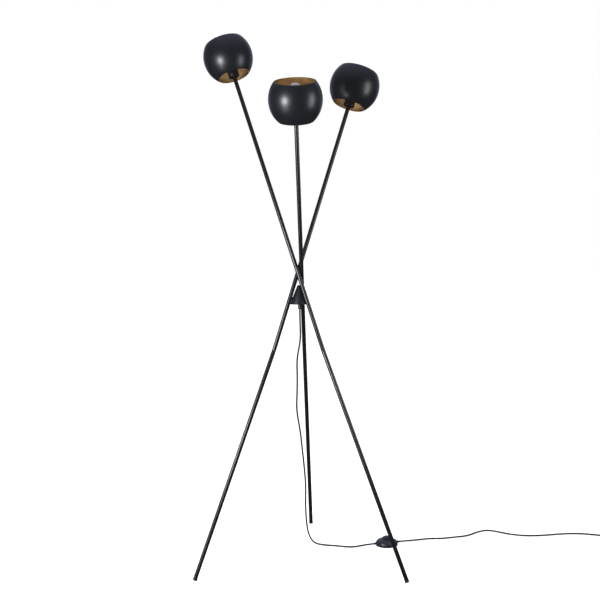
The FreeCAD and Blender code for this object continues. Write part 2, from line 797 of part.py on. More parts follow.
def plug_frame():
    """The plug points away from the coil, in line with the turn that leaves it."""
    outer, turn_r = COIL_TURN_R + CORD_D, COIL_TURN_R + CORD_R
    clear = math.sqrt(outer ** 2 - (turn_r - PLUG_SLEEVE_TIP_R) ** 2) + TOUCH
    start = COIL_AT + V(clear + PLUG_SLEEVE, -turn_r, PLUG_T / 2 + LOOSE)
    return FreeCAD.Placement(start, FreeCAD.Rotation())


def plug_body():
    half, rear, front = PLUG_WIDTH / 2, PLUG_REAR / 2, PLUG_FRONT / 2
    outline = [
        (0, -rear), (PLUG_LENGTH_X * 0.3, -half * 0.82), (PLUG_LENGTH_X * 0.62, -half),
        (PLUG_LENGTH_X, -front), (PLUG_LENGTH_X, front), (PLUG_LENGTH_X * 0.62, half),
        (PLUG_LENGTH_X * 0.3, half * 0.82), (0, rear), (0, -rear),
    ]
    wire = Part.makePolygon([V(x, y, -PLUG_T / 2) for x, y in outline])
    body = Part.Face(wire).extrude(V(0, 0, PLUG_T))
    body = body.makeChamfer(PLUG_EDGE, [e for e in body.Edges if abs(e.tangentAt(0).z) < 0.5])
    sleeve_cone = Part.makeCone(PLUG_SLEEVE_TIP_R, PLUG_SLEEVE_R, PLUG_SLEEVE + 1,
                                V(-PLUG_SLEEVE, 0, 0), V(1, 0, 0))
    body = joined([body, sleeve_cone])
    for y in (-PIN_SPACING / 2, PIN_SPACING / 2):
        body = body.cut(Part.makeCylinder(PIN_SEAT_D / 2 + FIT, PIN_SEAT + FIT + 1,
                                          V(PLUG_LENGTH_X - PIN_SEAT - FIT, y, 0), V(1, 0, 0)))
    return moved(body, plug_frame())


def plug_pins():
    pins = []
    for y in (-PIN_SPACING / 2, PIN_SPACING / 2):
        pin = Part.makeCylinder(PIN_D / 2, PIN_LENGTH, V(PLUG_LENGTH_X, y, 0), V(1, 0, 0))
        tip = [e for e in pin.Edges if e.BoundBox.XMin > PLUG_LENGTH_X + PIN_LENGTH - 0.1]
        root = Part.makeCylinder(PIN_SEAT_D / 2, PIN_SEAT + 1,
                                 V(PLUG_LENGTH_X - PIN_SEAT, y, 0), V(1, 0, 0))
        pins.append(moved(joined([pin.makeChamfer(0.6, tip), root]), plug_frame()))
    return Part.makeCompound(pins)


# ---- the whole lamp -------------------------------------------------------------------

PER_POLE = [
    pole_upper, pole_lower, joint_insert, joint_stud, foot_cap, nipple, pole_flex, holder_cup,
    lampholder, shade_ring, shade_spider, shade, bulb_cap, bulb_glass,
]
SHARED = [
    hub_cone, hub_plate, hub_screws, terminal_block, gland, gland_nut, nipple_nuts,
]
ON_LEAD = [
    switch_base, switch_cover, switch_button, switch_spring, switch_contacts, switch_screws,
    lead, mains_lead, cord_coil, plug_body, plug_pins,
]


def main():
    lamp = {f"{make.__name__}_{side}": make(side) for make in PER_POLE for side in AZIMUTH}
    lamp.update({make.__name__: make() for make in SHARED})
    box = Part.makeCompound(list(lamp.values())).optimalBoundingBox(False)
    shift = V(-box.Center.x, -box.Center.y, 0)
    print("lamp box", [round(v, 2) for v in (box.XLength, box.YLength, box.ZMin, box.ZMax)],
          "axis at", round(shift.x, 3), round(shift.y, 3))
    nodes = {**lamp, **{make.__name__: make() for make in ON_LEAD}}
    os.makedirs("parts", exist_ok=True)
    for name, shape in nodes.items():
        shape.translate(shift)
        shape.exportStep(f"parts/{name}.step")
        print(name, len(shape.Solids), round(shape.Volume, 1), shape.isValid())


main()
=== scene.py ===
# %% [markdown]
# # A tripod floor lamp
# Three slender steel poles lean past each other, cross at a waist and carry a round shade each.
# The metal is satin black outside, and the shades are brushed gold inside. A cord hangs from the
# small cone under the waist, runs over the floor to a foot switch and on to the mains plug.
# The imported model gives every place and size, so each piece below is built around it.

# %% Load the frame
import bpy
import bmesh
import math
from mathutils import Matrix, Vector


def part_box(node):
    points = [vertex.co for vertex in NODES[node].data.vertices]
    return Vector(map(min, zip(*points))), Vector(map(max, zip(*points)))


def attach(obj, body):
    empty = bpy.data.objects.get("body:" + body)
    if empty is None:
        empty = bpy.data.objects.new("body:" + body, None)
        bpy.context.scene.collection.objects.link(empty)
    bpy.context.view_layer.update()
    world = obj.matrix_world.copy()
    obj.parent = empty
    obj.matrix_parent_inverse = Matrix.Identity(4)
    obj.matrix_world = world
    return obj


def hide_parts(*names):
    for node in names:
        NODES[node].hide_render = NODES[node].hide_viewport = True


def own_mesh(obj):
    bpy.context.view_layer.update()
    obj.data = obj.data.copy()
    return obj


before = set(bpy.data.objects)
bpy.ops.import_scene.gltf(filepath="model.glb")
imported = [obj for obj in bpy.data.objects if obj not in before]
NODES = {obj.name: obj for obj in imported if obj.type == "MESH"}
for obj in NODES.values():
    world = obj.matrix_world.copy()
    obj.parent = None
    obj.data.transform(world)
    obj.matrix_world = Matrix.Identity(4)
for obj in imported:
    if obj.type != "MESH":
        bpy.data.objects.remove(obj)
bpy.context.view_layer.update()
SIDES = ("front", "right", "left")
MM = 0.001

# %% [markdown]
# ## Where things are
# The hub cone stands upright on the lamp's axis, so the middle of its box gives that axis. A
# pole section is a straight tube: the middle of its box is the middle of the tube, and its lean
# and the way it faces are known from the design. From these three come the frames in which the
# leaning pieces are turned, with Z along the pole.


# %% Frames of the leaning pieces
def middle(node):
    low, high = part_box(node)
    return (Vector(low) + Vector(high)) / 2


AXIS = middle("hub_cone")
AXIS.z = 0
FACES = {"front": -90.0, "right": 30.0, "left": 150.0}
LEAN_UPPER = math.radians(20.165)
LEAN_LOWER = math.radians(22.46)
POLE_R = 6.0 * MM
TUBE_TO_SHADE = 56.5 * MM  # from the shade's centre down to the tube's top end


def leaning(side, lean, origin):
    """A frame at origin with Z up along a pole section and X in the plane that it leans in."""
    turn = Matrix.Rotation(math.radians(FACES[side]), 4, "Z") @ Matrix.Rotation(lean, 4, "Y")
    return Matrix.Translation(origin) @ turn


def section(side, part, lean):
    """The frame of a tube, with its origin at the tube's middle, and half the tube's length."""
    low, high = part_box(f"pole_{part}_{side}")
    length = (high[2] - low[2] - 2 * POLE_R * math.sin(lean)) / math.cos(lean)
    return leaning(side, lean, middle(f"pole_{part}_{side}")), length / 2


UPPER = {side: section(side, "upper", LEAN_UPPER) for side in SIDES}
LOWER = {side: section(side, "lower", LEAN_LOWER) for side in SIDES}
HEAD = {
    side: place @ Matrix.Translation((0, 0, half + TUBE_TO_SHADE))
    for side, (place, half) in UPPER.items()
}
print("shade centres", {side: tuple(round(c, 3) for c in HEAD[side].translation) for side in SIDES})

# %% [markdown]
# ## The camera
# The lamp is seen from a little under its shades, from far enough away that it hardly narrows
# towards the top. A long lens from 2.65 metres does that. The camera is rolled by one degree.

# %% Camera
CAMERA_FROM_AXIS = Vector((0.1371, -2.6464, 0.9721))
LOOK = Vector((-0.05116, 0.99585, -0.07525)).normalized()
ROLL = math.radians(1.02)
LENS = 54.98

right = LOOK.cross(Vector((0, 0, 1))).normalized()
above = right.cross(LOOK)
across = right * math.cos(ROLL) - above * math.sin(ROLL)
up = above * math.cos(ROLL) + right * math.sin(ROLL)
camera = bpy.data.objects.new("camera", bpy.data.cameras.new("camera"))
camera.data.lens = LENS
camera.data.sensor_width = 36
camera.data.clip_end = 100
camera.matrix_world = Matrix.Translation(AXIS + CAMERA_FROM_AXIS) @ Matrix(
    (across, up, -LOOK)
).transposed().to_4x4()
bpy.context.scene.collection.objects.link(camera)
bpy.context.scene.camera = camera
print("camera", tuple(round(c, 3) for c in camera.location))

# %% [markdown]
# ## The lead
# A mains lead is a fixed length of something springy. It hangs straight out of its gland, bends
# onto the floor and lies in loose curves. A NURBS curve through listed control points bends
# as evenly as a real lead does, which an edge-by-edge path would not. The lead is cut at the foot
# switch, so it is two cords. The spare length is wound into a small coil just before the plug.

# %% Lead: routes
CORD_D = 5.0 * MM
FLOOR_LIE = 2.7 * MM
BASE_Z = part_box("hub_cone")[0][2]
LEAD_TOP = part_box("lead")[1][2]
SWITCH = middle("switch_button")
SWITCH_LINE = Vector((math.cos(math.radians(14.5)), math.sin(math.radians(14.5)), 0))
CORD_HEIGHT = 6.5 * MM
SWITCH_CORNER = 60 * MM
CONTACT_END = 18.3 * MM
LEAD_POINTS = [
    (0.8, 8, 655), (-12.6, 19, 598), (-12.2, 29, 543), (-14.5, 39, 490), (-17.8, 49, 438),
    (-8.5, 60, 378), (-3.6, 69, 318), (1.0, 80, 258), (4.2, 90, 200), (1.8, 99, 144),
    (2.4, 107, 92), (7.0, 113, 44), (23.0, 118, 10), (55.0, 121, 2.7), (91.0, 115.5, 2.7),
    (123.0, 104.5, 2.7), (152.0, 104.0, 2.8),
]
MAINS_POINTS = [
    (348, 168, 2.8), (386, 181, 2.7), (424, 180, 2.7), (467, 194, 2.7), (508, 206, 2.7),
    (541, 242, 2.7), (576, 262, 2.7), (608, 245, 2.7), (642, 219, 2.7), (690, 205, 2.7),
    (744, 209, 2.7), (800, 223, 2.7), (856, 228, 2.7), (908, 214, 2.7),
]


def from_axis(points):
    return [AXIS + Vector(p) * MM for p in points]


def on_switch_line(along, height):
    point = Vector((SWITCH.x, SWITCH.y, 0)) + SWITCH_LINE * along
    return Vector((point.x, point.y, height))


lead_route = [
    Vector((AXIS.x, AXIS.y, LEAD_TOP)), Vector((AXIS.x, AXIS.y, LEAD_TOP - 54 * MM)),
    *from_axis(LEAD_POINTS),
    on_switch_line(-SWITCH_CORNER, CORD_HEIGHT), on_switch_line(-CONTACT_END, CORD_HEIGHT),
]

# %% [markdown]
# The coil is two layers of two turns. The lead comes in along the line that the outer turn
# touches, winds outwards and inwards, climbs to the upper layer and leaves along the same line,
# into the plug's sleeve. Eighteen control points a turn keep the turns round.

# %% Lead: the coil's turns
COIL = middle("cord_coil")
COIL_INNER = 25 * MM
COIL_OUTER = 30 * MM
TURN_POINTS = 18
TURN_STEPS = (
    (COIL_OUTER, 0.0), (COIL_INNER, 0.0), (COIL_INNER, 1.0), (COIL_OUTER, 1.0), (COIL_OUTER, 1.0),
)


def coil_points():
    """Four turns from the side that faces -Y, each blending into the next one's radius and layer."""
    stretch = 1 / math.cos(math.pi / TURN_POINTS)
    made = []
    for turn in range(4):
        (r0, h0), (r1, h1) = TURN_STEPS[turn], TURN_STEPS[turn + 1]
        for i in range(TURN_POINTS):
            share = i / TURN_POINTS
            ease = share * share * (3 - 2 * share)
            radius = (r0 + (r1 - r0) * ease) * stretch
            angle = 2 * math.pi * (share + 0.5 / TURN_POINTS) - math.pi / 2
            made.append(Vector((
                COIL.x + radius * math.cos(angle),
                COIL.y + radius * math.sin(angle),
                FLOOR_LIE + (h0 + (h1 - h0) * ease) * CORD_D,
            )))
    return made


SLEEVE_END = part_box("plug_body")[0][0]
leave_line = COIL.y - COIL_OUTER
mains_route = [
    on_switch_line(CONTACT_END, CORD_HEIGHT), on_switch_line(SWITCH_CORNER, CORD_HEIGHT),
    *from_axis(MAINS_POINTS),
    Vector((COIL.x - 48 * MM, leave_line, FLOOR_LIE)),
    Vector((COIL.x - 14 * MM, leave_line, FLOOR_LIE)),
    *coil_points(),
    Vector((COIL.x + 6 * MM, leave_line, FLOOR_LIE + CORD_D)),
    Vector((SLEEVE_END + 3 * MM, leave_line, middle("plug_body").z)),
]


def smooth_cord(name, route, radius):
    data = bpy.data.curves.new(name, "CURVE")
    data.dimensions = "3D"
    data.resolution_u = 8
    data.bevel_depth = radius
    data.bevel_resolution = 5
    data.use_fill_caps = True
    spline = data.splines.new("NURBS")
    spline.points.add(len(route) - 1)
    for point, place in zip(spline.points, route):
        point.co = (*place, 1)
    spline.order_u = 3
    spline.use_endpoint_u = True
    cord = bpy.data.objects.new(name, data)
    bpy.context.scene.collection.objects.link(cord)
    return cord


def length_of(cord):
    bare = cord.data.copy()
    bare.bevel_depth = 0
    probe = bpy.data.objects.new("probe", bare)
    mesh = bpy.data.meshes.new_from_object(probe)
    total = sum((mesh.vertices[a].co - mesh.vertices[b].co).length for a, b in (e.vertices for e in mesh.edges))
    bpy.data.meshes.remove(mesh)
    bpy.data.objects.remove(probe)
    bpy.data.curves.remove(bare)
    return total


lead = smooth_cord("lead_cord", lead_route, CORD_D / 2)
mains = smooth_cord("mains_cord", mains_route, CORD_D / 2)
print("lead", round(length_of(lead), 3), "m, mains lead", round(length_of(mains), 3), "m")

# %% [markdown]
# ## Floor and light
# The floor and the air around are plain and pale. Black satin paint shows what it mirrors rather
# than its own colour, so the light is arranged as in a product studio: a tall soft box on the
# left near the camera, a narrower one on the right, and little else for the gloss to catch. The
# world is white to the eye and to matt surfaces. To anything that mirrors it, it is a dark room
# with a bright wall behind the lamp and a bright ceiling, which is what gives the blacks their
# thin pale rims. That choice is made with the Light Path node in the world and the floor.


# %% Node helper
def wire(tree, kind, inputs=None, **settings):
    """Adds a node, sets its properties and its sockets: a value is set, a socket is linked."""
    node = tree.nodes.new(kind)
    for key, value in settings.items():
        setattr(node, key, value)
    for key, value in (inputs or {}).items():
        if isinstance(value, bpy.types.NodeSocket):
            tree.links.new(value, node.inputs[key])
        else:
            node.inputs[key].default_value = value
    return node


# %% World and floor
SCENE = bpy.context.scene
SCENE.view_settings.view_transform = "Standard"
WORLD_WHITE = (1.0, 1.0, 1.0, 1)
ROOM_DARK = (0.085, 0.095, 0.12, 1)
ROOM_BRIGHT = (0.50, 0.55, 0.74, 1)

world = bpy.data.worlds.new("studio")
world.use_nodes = True
SCENE.world = world
tree = world.node_tree
tree.nodes.clear()
path = wire(tree, "ShaderNodeLightPath")
white = wire(tree, "ShaderNodeBackground", {"Color": WORLD_WHITE, "Strength": 1.0})
heading = wire(tree, "ShaderNodeSeparateXYZ", {0: wire(tree, "ShaderNodeTexCoord").outputs["Generated"]})
behind = wire(tree, "ShaderNodeMapRange", {"Value": heading.outputs["Y"], "From Min": 0.45, "From Max": 0.95})
overhead = wire(tree, "ShaderNodeMapRange", {"Value": heading.outputs["Z"], "From Min": 0.45, "From Max": 1.0})
glow = wire(tree, "ShaderNodeMath", {0: behind.outputs[0], 1: overhead.outputs[0]}, operation="MAXIMUM")
room = wire(tree, "ShaderNodeMix", {0: glow.outputs[0], 6: ROOM_DARK, 7: ROOM_BRIGHT}, data_type="RGBA")
dim = wire(tree, "ShaderNodeBackground", {"Color": room.outputs[2], "Strength": 1.0})
pick = wire(tree, "ShaderNodeMixShader", {
    0: path.outputs["Is Glossy Ray"], 1: white.outputs[0], 2: dim.outputs[0],
})
wire(tree, "ShaderNodeOutputWorld", {"Surface": pick.outputs[0]})

floor_mesh = bpy.data.meshes.new("floor")
sheet = bmesh.new()
bmesh.ops.create_circle(sheet, cap_ends=True, segments=96, radius=14)
sheet.to_mesh(floor_mesh)
sheet.free()
floor = bpy.data.objects.new("floor", floor_mesh)
floor.location.z = -0.0005
SCENE.collection.objects.link(floor)
floor_finish = bpy.data.materials.new("pale_floor")
floor_finish.use_nodes = True
tree = floor_finish.node_tree
tree.nodes.clear()
path = wire(tree, "ShaderNodeLightPath")
pale = wire(tree, "ShaderNodeBsdfDiffuse", {"Color": (0.93, 0.93, 0.93, 1)})
lift = wire(tree, "ShaderNodeEmission", {"Color": (1, 1, 1, 1), "Strength": 0.35})
lit = wire(tree, "ShaderNodeAddShader", {0: pale.outputs[0], 1: lift.outputs[0]})
dark = wire(tree, "ShaderNodeBsdfDiffuse", {"Color": (0.06, 0.06, 0.065, 1)})
pick = wire(tree, "ShaderNodeMixShader", {
    0: path.outputs["Is Glossy Ray"], 1: lit.outputs[0], 2: dark.outputs[0],
})
wire(tree, "ShaderNodeOutputMaterial", {"Surface": pick.outputs[0]})
floor_mesh.materials.append(floor_finish)


# %% Soft boxes
def soft_box(name, place, target, size, power, colour=(1, 1, 1)):
    light = bpy.data.lights.new(name, "AREA")
    light.shape = "RECTANGLE"
    light.size, light.size_y = size
    light.energy = power
    light.color = colour
    box = bpy.data.objects.new(name, light)
    box.location = AXIS + Vector(place)
    aim = AXIS + Vector(target) - box.location
    box.rotation_euler = aim.to_track_quat("-Z", "Y").to_euler()
    box.visible_camera = False
    SCENE.collection.objects.link(box)
    return box


soft_box("left_box", (-1.16, -1.43, 0.95), (0, 0, 1.3), (0.50, 0.56), 38, (0.93, 0.97, 1.0))
soft_box("left_tail", (-1.22, -1.22, 0.16), (0, 0, 1.2), (0.22, 0.35), 4, (0.93, 0.97, 1.0))
soft_box("right_box", (1.30, -0.52, 1.15), (0, 0, 1.25), (0.42, 0.85), 9, (0.93, 0.96, 1.0))
soft_box("pole_box", (-1.5, -1.6, 0.45), (0, 0, 0.4), (0.20, 0.9), 2.6, (0.95, 0.98, 1.0))

# %% [markdown]
# ## Shared effects
# Small groups of nodes give each finish its own irregularity. **Coat texture** is the slight
# orange peel and uneven gloss of sprayed or powder-coated paint. **Brushing** draws fine streaks
# round or along a piece. **Handling** is the faint dust and rubbing that dulls a surface in
# patches. Each puts out values, colours and normals only, so any material can use it. **Brushing**
# also takes the viewing angle as an input and paints shade into its colour, dark brown where a
# surface is seen at a glance.


# %% Group: coat texture
def group(name, inputs, outputs):
    tree = bpy.data.node_groups.new(name, "ShaderNodeTree")
    for label, kind, value in inputs:
        socket = tree.interface.new_socket(label, in_out="INPUT", socket_type=kind)
        if value is not None:
            socket.default_value = value
    for label, kind in outputs:
        tree.interface.new_socket(label, in_out="OUTPUT", socket_type=kind)
    return tree, tree.nodes.new("NodeGroupInput"), tree.nodes.new("NodeGroupOutput")


def coat_texture():
    tree, given, result = group(
        "coat_texture",
        [("Grain", "NodeSocketFloat", 900.0), ("Depth", "NodeSocketFloat", 0.1),
         ("Gloss", "NodeSocketFloat", 0.3), ("Gloss Change", "NodeSocketFloat", 0.06)],
        [("Roughness", "NodeSocketFloat"), ("Normal", "NodeSocketVector"), ("Mask", "NodeSocketFloat")],
    )
    where = wire(tree, "ShaderNodeTexCoord").outputs["Object"]
    peel = wire(tree, "ShaderNodeTexNoise", {
        "Vector": where, "Scale": given.outputs["Grain"], "Detail": 3.0, "Roughness": 0.55,
    })
    cloud = wire(tree, "ShaderNodeTexNoise", {"Vector": where, "Scale": 28.0, "Detail": 4.0})
    swing = wire(tree, "ShaderNodeMath", {0: cloud.outputs[0], 1: 0.5}, operation="SUBTRACT")
    change = wire(tree, "ShaderNodeMath", {
        0: swing.outputs[0], 1: given.outputs["Gloss Change"], 2: given.outputs["Gloss"],
    }, operation="MULTIPLY_ADD")
    bump = wire(tree, "ShaderNodeBump", {
        "Strength": given.outputs["Depth"], "Distance": 0.0003, "Height": peel.outputs[0],
    })
    tree.links.new(change.outputs[0], result.inputs["Roughness"])
    tree.links.new(bump.outputs[0], result.inputs["Normal"])
    tree.links.new(cloud.outputs[0], result.inputs["Mask"])
    return tree


# %% Group: brushing
def brushing():
    tree, given, result = group(
        "brushing",
        [("Stretch", "NodeSocketVector", (1.0, 1.0, 1.0)), ("Strokes", "NodeSocketFloat", 600.0),
         ("Depth", "NodeSocketFloat", 0.2), ("Gloss", "NodeSocketFloat", 0.35),
         ("Light Colour", "NodeSocketColor", (0.7, 0.5, 0.25, 1)),
         ("Dark Colour", "NodeSocketColor", (0.4, 0.25, 0.1, 1)), ("Glance", "NodeSocketFloat", 0.0),
         ("Painted Shade Colour", "NodeSocketColor", (0.05, 0.03, 0.01, 1))],
        [("Color", "NodeSocketColor"), ("Roughness", "NodeSocketFloat"), ("Normal", "NodeSocketVector")],
    )
    where = wire(tree, "ShaderNodeTexCoord").outputs["UV"]
    drawn = wire(tree, "ShaderNodeVectorMath", {0: where, 1: given.outputs["Stretch"]}, operation="MULTIPLY")
    fine = wire(tree, "ShaderNodeTexNoise", {
        "Vector": drawn.outputs[0], "Scale": given.outputs["Strokes"], "Detail": 4.0,
        "Roughness": 0.7, "Distortion": 0.15,
    })
    patch = wire(tree, "ShaderNodeTexNoise", {"Vector": where, "Scale": 4.0, "Detail": 2.0})
    sum_up = wire(tree, "ShaderNodeMath", {
        0: patch.outputs[0], 1: 0.3, 2: fine.outputs[0],
    }, operation="MULTIPLY_ADD")
    spread = wire(tree, "ShaderNodeMapRange", {
        "Value": sum_up.outputs[0], "From Min": 0.42, "From Max": 0.88,
    })
    tone = wire(tree, "ShaderNodeMix", {
        0: spread.outputs[0], 6: given.outputs["Dark Colour"], 7: given.outputs["Light Colour"],
    }, data_type="RGBA")
    # Painted shade: where the surface is seen at a glance, the colour is pulled towards a dark brown.
    painted_shade_share = wire(tree, "ShaderNodeMapRange", {
        "Value": given.outputs["Glance"], "From Min": 0.35, "From Max": 0.95, "To Max": 0.92,
    })
    seen = wire(tree, "ShaderNodeMix", {
        0: painted_shade_share.outputs[0], 6: tone.outputs[2], 7: given.outputs["Painted Shade Colour"],
    }, data_type="RGBA")
    swing = wire(tree, "ShaderNodeMath", {0: fine.outputs[0], 1: 0.5}, operation="SUBTRACT")
    gloss = wire(tree, "ShaderNodeMath", {
        0: swing.outputs[0], 1: 0.3, 2: given.outputs["Gloss"],
    }, operation="MULTIPLY_ADD")
    bump = wire(tree, "ShaderNodeBump", {
        "Strength": given.outputs["Depth"], "Distance": 0.0002, "Height": fine.outputs[0],
    })
    tree.links.new(seen.outputs[2], result.inputs["Color"])
    tree.links.new(gloss.outputs[0], result.inputs["Roughness"])
    tree.links.new(bump.outputs[0], result.inputs["Normal"])
    return tree


# %% Group: handling
def handling():
    tree, given, result = group(
        "handling",
        [("Base Colour", "NodeSocketColor", (0.02, 0.02, 0.02, 1)),
         ("Dust Colour", "NodeSocketColor", (0.12, 0.12, 0.125, 1)), ("Amount", "NodeSocketFloat", 0.1)],
        [("Color", "NodeSocketColor")],
    )
    where = wire(tree, "ShaderNodeTexCoord").outputs["Object"]
    specks = wire(tree, "ShaderNodeTexNoise", {"Vector": where, "Scale": 260.0, "Detail": 5.0, "Roughness": 0.7})
    patch = wire(tree, "ShaderNodeTexNoise", {"Vector": where, "Scale": 14.0, "Detail": 2.0})
    both = wire(tree, "ShaderNodeMath", {0: specks.outputs[0], 1: patch.outputs[0]}, operation="MULTIPLY")
    thin = wire(tree, "ShaderNodeMapRange", {"Value": both.outputs[0], "From Min": 0.24, "From Max": 0.5})
    share = wire(tree, "ShaderNodeMath", {0: thin.outputs[0], 1: given.outputs["Amount"]}, operation="MULTIPLY")
    mixed = wire(tree, "ShaderNodeMix", {
        0: share.outputs[0], 6: given.outputs["Base Colour"], 7: given.outputs["Dust Colour"],
    }, data_type="RGBA")
    tree.links.new(mixed.outputs[2], result.inputs["Color"])
    return tree


COAT, BRUSH, HANDLED = coat_texture(), brushing(), handling()
print("groups", COAT.name, BRUSH.name, HANDLED.name)


# %% [markdown]
# ## Finishes
# Most of the lamp is one black, sprayed satin, and the plastics, rubber and lead are blacks of
# their own: what tells them apart is gloss and texture, so these are set for each. The shades'
# inside is a warm brushed gold. Small fittings are zinc and nickel.

# %% Finish: blacks
def coated(name, colour, gloss, grain=900.0, depth=0.1, change=0.06, dust=0.08, metallic=0.0, specular=0.5):
    """A sprayed or moulded surface: slight orange peel, uneven gloss and a trace of dust."""
    finish = bpy.data.materials.new(name)
    finish.use_nodes = True
    tree = finish.node_tree
    tree.nodes.clear()
    coat = wire(tree, "ShaderNodeGroup", node_tree=COAT)
    for label, value in (("Grain", grain), ("Depth", depth), ("Gloss", gloss), ("Gloss Change", change)):
        coat.inputs[label].default_value = value
    dusty = wire(tree, "ShaderNodeGroup", node_tree=HANDLED)
    dusty.inputs["Base Colour"].default_value = (*colour, 1)
    dusty.inputs["Dust Colour"].default_value = (*[min(1, c * 2.2 + 0.010) for c in colour], 1)
    dusty.inputs["Amount"].default_value = dust
    surface = wire(tree, "ShaderNodeBsdfPrincipled", {
        "Base Color": dusty.outputs[0], "Roughness": coat.outputs["Roughness"],
        "Normal": coat.outputs["Normal"], "Metallic": metallic, "Specular IOR Level": specular,
    })
    wire(tree, "ShaderNodeOutputMaterial", {"Surface": surface.outputs[0]})
    return finish


BLACK = coated("satin_black", (0.0042, 0.0046, 0.0066), 0.36, grain=1100, depth=0.04, change=0.05, dust=0.05)
POLE_BLACK = coated("pole_black", (0.0034, 0.0035, 0.0044), 0.30, grain=1300, depth=0.04, change=0.08, dust=0.05)
SWITCH_BLACK = coated("switch_plastic", (0.0085, 0.0092, 0.0165), 0.36, grain=700, depth=0.12, dust=0.15)
PLASTIC = coated("black_plastic", (0.0040, 0.0040, 0.0045), 0.42, grain=1500, depth=0.15, dust=0.05)
RUBBER = coated("foot_rubber", (0.0040, 0.0040, 0.0042), 0.70, grain=1800, depth=0.3, dust=0.15)
SHEATH = coated("cord_sheath", (0.0045, 0.0050, 0.0095), 0.42, grain=500, depth=0.10, dust=0.05)
WHITE = coated("white_plastic", (0.78, 0.77, 0.72), 0.45, grain=900, depth=0.1)
ZINC = coated("zinc", (0.60, 0.60, 0.58), 0.32, grain=1600, depth=0.25, metallic=1.0)
NICKEL = coated("nickel", (0.70, 0.67, 0.60), 0.20, grain=1200, depth=0.1, metallic=1.0)


# %% Finish: brushed gold
def gold(name, light_colour, dark_colour, stretch):
    finish = bpy.data.materials.new(name)
    finish.use_nodes = True
    tree = finish.node_tree
    tree.nodes.clear()
    brush = wire(tree, "ShaderNodeGroup", node_tree=BRUSH)
    brush.inputs["Stretch"].default_value = stretch
    brush.inputs["Strokes"].default_value = 60.0
    brush.inputs["Depth"].default_value = 0.5
    brush.inputs["Gloss"].default_value = 0.42
    brush.inputs["Light Colour"].default_value = (*light_colour, 1)
    brush.inputs["Dark Colour"].default_value = (*dark_colour, 1)
    # Painted shade: the facing angle darkens this gold towards brown where it is seen at a glance.
    edge = wire(tree, "ShaderNodeLayerWeight", {"Blend": 0.5})
    tree.links.new(edge.outputs["Facing"], brush.inputs["Glance"])
    surface = wire(tree, "ShaderNodeBsdfPrincipled", {
        "Base Color": brush.outputs["Color"], "Roughness": brush.outputs["Roughness"],
        "Normal": brush.outputs["Normal"], "Metallic": 0.6,
    })
    wire(tree, "ShaderNodeOutputMaterial", {"Surface": surface.outputs[0]})
    return finish


GOLD = gold("brushed_gold", (0.98, 0.65, 0.30), (0.44, 0.26, 0.09), (0.2, 4.0, 1.0))
SPIDER_GOLD = gold("spider_gold", (0.62, 0.41, 0.19), (0.42, 0.26, 0.11), (4.0, 1.0, 1.0))


# %% Finish: glass and filament
def clear_glass():
    """Blown glass is never quite even, so a faint ripple bends what is seen through it."""
    finish = bpy.data.materials.new("clear_glass")
    finish.use_nodes = True
    tree = finish.node_tree
    tree.nodes.clear()
    ripple = wire(tree, "ShaderNodeGroup", node_tree=COAT)
    for label, value in (("Grain", 120.0), ("Depth", 0.04), ("Gloss", 0.06), ("Gloss Change", 0.02)):
        ripple.inputs[label].default_value = value
    # Painted reflection: the glass passes only part of its light, and the rest is a pale diffuse white lit by the white
    # world, so the clear dome reads bright.
    surface = wire(tree, "ShaderNodeBsdfPrincipled", {
        "Base Color": (0.97, 0.98, 0.98, 1), "Roughness": ripple.outputs["Roughness"],
        "Normal": ripple.outputs["Normal"], "IOR": 1.45, "Transmission Weight": 0.82,
    })
    wire(tree, "ShaderNodeOutputMaterial", {"Surface": surface.outputs[0]})
    return finish


GLASS = clear_glass()
FILAMENT = coated("filament", (0.85, 0.72, 0.42), 0.6, grain=3000, depth=0.3, dust=0.0)
print("finishes", len(bpy.data.materials))

# %% [markdown]
# ## Turned pieces
# Most of this lamp is spun, turned or drawn: shades, cups, tubes, cones. Each is made here from
# its half section, turned round an axis. The section is given as radius and height in
# millimetres, and every point of it may carry its own finish, so one shade shell has black
# outside and gold inside. A small bevel on the section's corners catches the light as a real
# edge does.


# %% Turning helper
def link(name, mesh, place=None):
    piece = bpy.data.objects.new(name, mesh)
    if place is not None:
        piece.matrix_world = place
    SCENE.collection.objects.link(piece)
    return piece


def turned(name, section_points, place, finishes, segments=96, finish_of=None, closed=True, smooth=40):
    """Turns a half section of (radius, height) points in millimetres round Z, in the frame place."""
    mesh = bpy.data.meshes.new(name)
    work = bmesh.new()
    uv = work.loops.layers.uv.new("around")
    rings = []
    for radius, height in section_points:
        if radius < 1e-6:
            rings.append([work.verts.new((0, 0, height * MM))])
            continue
        rings.append([
            work.verts.new((
                radius * MM * math.cos(2 * math.pi * i / segments),
                radius * MM * math.sin(2 * math.pi * i / segments), height * MM,
            )) for i in range(segments)
        ])
    steps = [math.dist(a, b) for a, b in zip(section_points, section_points[1:] + section_points[:1])]
    along = [sum(steps[:k]) / 100 for k in range(len(steps) + 1)]
    pairs = list(zip(range(len(rings)), list(range(1, len(rings))) + [0]))
    for k, (a, b) in enumerate(pairs if closed else pairs[:-1]):
        low, high = rings[a], rings[b]
        if len(low) == 1 and len(high) == 1:
            continue
        for i in range(segments):
            j = (i + 1) % segments
            corners = [
                (low[i % len(low)], i, along[k]), (low[j % len(low)], i + 1, along[k]),
                (high[j % len(high)], i + 1, along[k + 1]), (high[i % len(high)], i, along[k + 1]),
            ]
            if len(low) == 1:
                corners = [corners[0], corners[2], corners[3]]
            if len(high) == 1:
                corners = corners[:3]
            face = work.faces.new([c[0] for c in corners])
            for loop, corner in zip(face.loops, corners):
                loop[uv].uv = (corner[1] / segments * 4, corner[2])
            face.material_index = finish_of(k) if finish_of else 0
            face.smooth = True
    bmesh.ops.recalc_face_normals(work, faces=work.faces)
    work.to_mesh(mesh)
    work.free()
    for finish in finishes:
        mesh.materials.append(finish)
    mesh.set_sharp_from_angle(angle=math.radians(smooth))
    return link(name, mesh, place)


